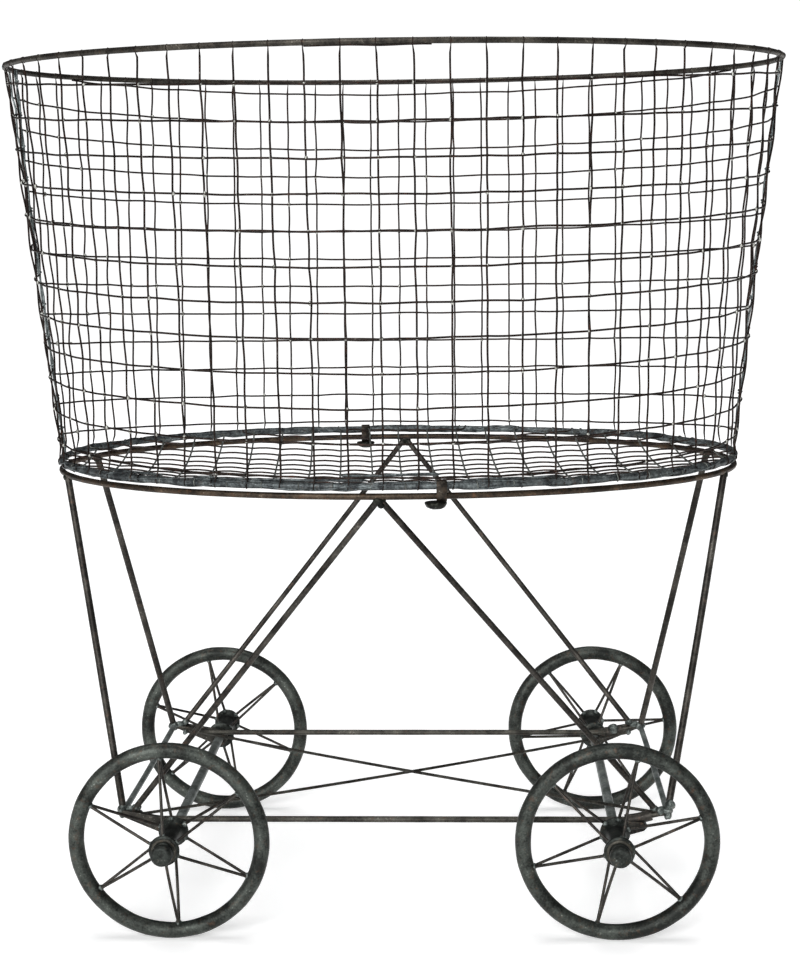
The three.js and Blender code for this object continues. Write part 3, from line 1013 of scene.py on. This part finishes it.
# The bars are a pale grey like the side rails, a painted reflection of the bright light round
# them. The plates are oxidised nearly black.
axle_reflection_iron = aged_iron("axle_iron_painted_reflection", ("#565b58", "#9ca2a0"), "#c2c7c3", "#75604f", 0.4, 0.15)
bracket_iron = aged_iron(
    "oxidised_plate_iron", ("#22211f", "#4c4a45"), "#9a9b94", "#5d4433", 0.4, 0.25, 12 * MM
)
for side_name in ("left", "right"):
    low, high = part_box(f"axle_{side_name}")
    middle = (low + high) / 2
    axle_mesh = bmesh.new()
    bar_radius = (high.z - low.z) / 2
    profile = [
        (0, low.y), (bar_radius - bar_chamfer, low.y), (bar_radius, low.y + bar_chamfer),
        (bar_radius, high.y - bar_chamfer), (bar_radius - bar_chamfer, high.y), (0, high.y),
    ]
    turned(axle_mesh, profile, Vector((middle.x, 0, middle.z)), steps=32)
    axle = finished(f"axle_bar_{side_name}", axle_mesh)
    axle.data.materials.append(axle_reflection_iron)
    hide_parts(f"axle_{side_name}")
    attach(axle, "trolley")
for corner in corners:
    plate = merged_copy(f"bracket_plate_{corner}", f"axle_bracket_{corner}", 0.5 * MM)
    plate.data.materials.clear()
    plate.data.materials.append(bracket_iron)
    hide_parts(f"axle_bracket_{corner}")
    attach(plate, "trolley")


# --- Wheels -------------------------------------------------------------------------------------
# Four wheels, each a 14 mm tube rim with a spool hub and six pairs of wire spokes. The pairs
# leave the two flanges of the hub and meet at the rim, where they are brazed in.
# The tube is oxidised to a dark grey with a green cast. The hub is black with old grease.
tyre_iron = aged_iron(
    "oxidised_wheel_iron", ("#252725", "#575c57"), "#a3a69e", "#5c4436", 0.3, 0.3, 30 * MM
)
hub_iron = aged_iron(
    "blackened_hub_iron", ("#1d1f1d", "#424643"), "#8f958f", "#55412f", 0.35, 0.2, 12 * MM
)
spoke_radius = 1.4 * MM
spoke_pairs = 6
# The angle of the first pair of spokes, in degrees. No two wheels stand alike.
first_spokes = {"front_left": 35, "front_right": 17, "rear_left": 41, "rear_right": 7}
# Half of the hub, as radius and distance from its middle in millimetres: the bore, the flange and
# the waist.
drawn_hub_half = 27
hub_outline = (
    (4.65, 0), (4.65, 26.4), (5.2, 27), (12.9, 27), (13.5, 26.4), (13.5, 24.6), (12.9, 24.0),
    (10.4, 22.2), (8.9, 19), (8.5, 14), (8.3, 0),
)
for corner in corners:
    body = f"wheel_{corner}"
    low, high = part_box(f"wheel_rim_{corner}")
    centre = (low + high) / 2
    wheel_radius = (high.z - low.z) / 2
    tube_radius = (high.y - low.y) / 2
    tube_middle = wheel_radius - tube_radius
    tube_inside = wheel_radius - 2 * tube_radius

    tyre_mesh = bmesh.new()
    bmesh.ops.create_circle(tyre_mesh, segments=20, radius=tube_radius)
    tube_centre = centre + Vector((tube_middle, 0, 0))
    bmesh.ops.translate(tyre_mesh, verts=tyre_mesh.verts, vec=tube_centre)
    bmesh.ops.spin(
        tyre_mesh, geom=tyre_mesh.verts[:] + tyre_mesh.edges[:], cent=centre, axis=(0, 1, 0),
        dvec=(0, 0, 0), angle=2 * math.pi, steps=96, use_merge=True,
    )
    tyre_mesh.normal_update()
    for vert in tyre_mesh.verts:
        away = vert.co - centre
        ring_spot = Vector((away.x, 0, away.z)).normalized() * tube_middle
        from_tube = (away - ring_spot).normalized()
        vert.co += from_tube * 0.35 * MM * noise.noise(vert.co * 70)
    tyre = finished(f"wheel_tube_{corner}", tyre_mesh)
    tyre.data.materials.append(tyre_iron)
    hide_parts(f"wheel_rim_{corner}")

    low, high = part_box(f"wheel_spider_{corner}")
    hub_half = (high.y - low.y) / 2
    hub_mesh = bmesh.new()
    for end in (-1, 1):
        stretch = end * hub_half / drawn_hub_half
        turned(hub_mesh, [(radius * MM, y * stretch) for radius, y in hub_outline], centre)
    hub = finished(f"wheel_hub_{corner}", hub_mesh)
    hub.data.materials.append(hub_iron)
    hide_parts(f"wheel_spider_{corner}")

    hand = random.Random(corner)
    spokes = []
    braze_mesh = bmesh.new()
    for pair in range(spoke_pairs):
        angle = math.radians(first_spokes[corner] + 360 / spoke_pairs * pair)
        outward = Vector((math.cos(angle), 0, math.sin(angle)))
        for end in (-1, 1):
            start = centre + outward * 10 * MM + Vector((0, end * (hub_half - 1.5 * MM), 0))
            finish = centre + outward * (tube_inside + 1 * MM)
            finish += Vector((0, end * 1.3 * MM, 0))
            spokes.append(bowed_rod(start, finish, hand.uniform(-0.5, 0.5) * MM, 6))
            foot = start + Vector((0, -end * 1.7 * MM, 0)) + outward * 2.5 * MM
            add_lump(braze_mesh, foot, 2.3 * MM)
        joint = centre + outward * (tube_inside + 0.5 * MM)
        add_lump(braze_mesh, joint, 2.6 * MM, (1, 1.35, 1))
    spoke_set = bent_rods(f"wheel_spokes_{corner}", spokes, spoke_radius)
    spoke_set.data.materials.append(leg_iron)
    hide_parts(f"wheel_spider_{corner}")
    braze = finished(f"wheel_brazing_{corner}", braze_mesh)
    braze.data.materials.append(weld_iron)
    for piece in (tyre, hub, spoke_set, braze):
        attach(piece, body)


# --- Wheel fastenings ---------------------------------------------------------------------------
# Inside each wheel a collar keeps it off the bracket. Outside there is a loose washer and a turned
# cap with a groove, pressed on the end of the bar.
# The washer is a little less black than the hub: a painted highlight for its bright edge.
washer_highlight_iron = aged_iron(
    "washer_iron_painted_highlight", ("#2a2926", "#4f4d46"), "#96928a", "#6b5a46", 0.4, 0.2, 8 * MM
)
bore = 4.8 * MM
chamfers = {"collar": 0.8 * MM, "washer": 0.35 * MM, "cap": 0.8 * MM}
for corner, (_, y_sign) in corners.items():
    for kind, iron in (("collar", hub_iron), ("washer", washer_highlight_iron), ("cap", hub_iron)):
        low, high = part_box(f"axle_{kind}_{corner}")
        centre = Vector(((low.x + high.x) / 2, 0, (low.z + high.z) / 2))
        radius = (high.x - low.x) / 2
        inner = min(abs(low.y), abs(high.y))
        outer = max(abs(low.y), abs(high.y))
        edge = chamfers[kind]
        profile = [(bore, inner), (radius - edge, inner), (radius, inner + edge)]
        if kind == "cap":
            groove_radius = radius - 1.7 * MM
            lip_radius = radius - 0.5 * MM
            bottom = outer - 4 * MM
            profile += [
                (radius, inner + 3.6 * MM), (lip_radius, inner + 4.2 * MM),
                (groove_radius, inner + 4.5 * MM), (groove_radius, inner + 5.9 * MM),
                (lip_radius, inner + 6.3 * MM), (radius, inner + 6.9 * MM),
                (radius, outer - 2.6 * MM), (radius - 0.7 * MM, outer - 1.1 * MM),
                (radius - 2.2 * MM, outer - 0.2 * MM), (radius - 3.4 * MM, outer),
                (0, outer), (0, bottom), (bore, bottom), (bore, inner),
            ]
        else:
            profile += [
                (radius, outer - edge), (radius - edge, outer), (bore, outer), (bore, inner),
            ]
        part_mesh = bmesh.new()
        turned(part_mesh, [(across, y_sign * y) for across, y in profile], centre)
        piece = finished(f"turned_{kind}_{corner}", part_mesh)
        piece.data.materials.append(iron)
        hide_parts(f"axle_{kind}_{corner}")
        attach(piece, "trolley")
